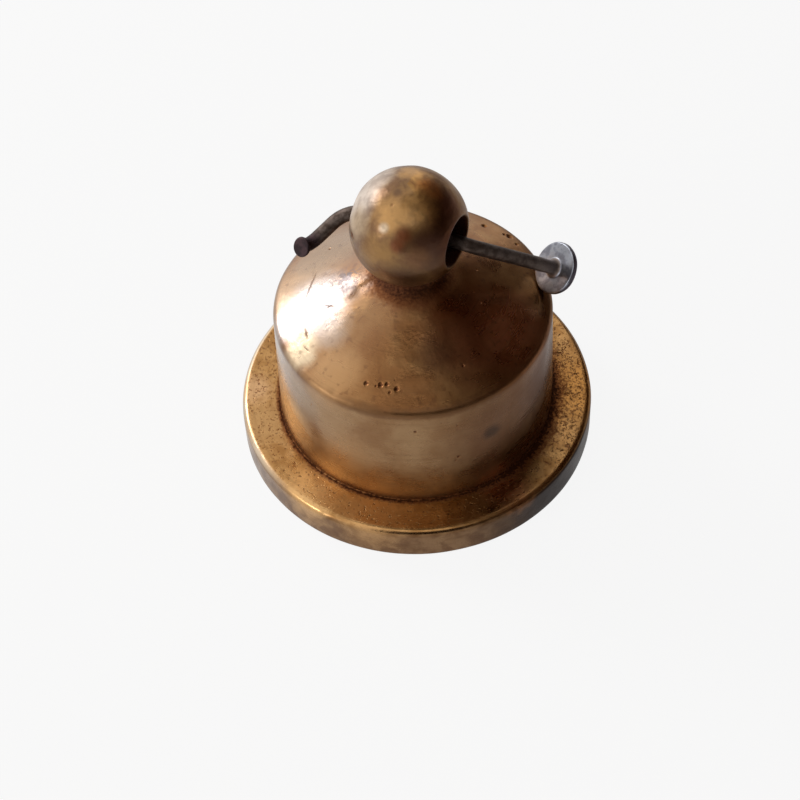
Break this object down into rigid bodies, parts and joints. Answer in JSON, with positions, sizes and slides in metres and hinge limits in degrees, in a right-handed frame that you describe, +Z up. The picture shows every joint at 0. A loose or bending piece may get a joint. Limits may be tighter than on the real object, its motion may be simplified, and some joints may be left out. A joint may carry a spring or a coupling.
{
  "type": "chandelier finial",
  "caption": "Turned brass chandelier finial with a stepped flange, drum, cone and cross-drilled ball, held by a bent nail through the ball.",
  "frame": {"origin": "centre of the flange's flat underside", "axes": "+Z up along the turning axis, +X along the cross-bore of the ball, out of the mouth on the nail head's side"},
  "size_m": [0.07, 0.07, 0.0665],
  "materials": {
    "old_brass": "worn satin with a brown patina",
    "nail_steel": "dull zinc coat, darkened on the shank"
  },
  "bodies": {
    "root": {"finial_body": "old_brass", "nail": "nail_steel"}
  },
  "joints": []
}
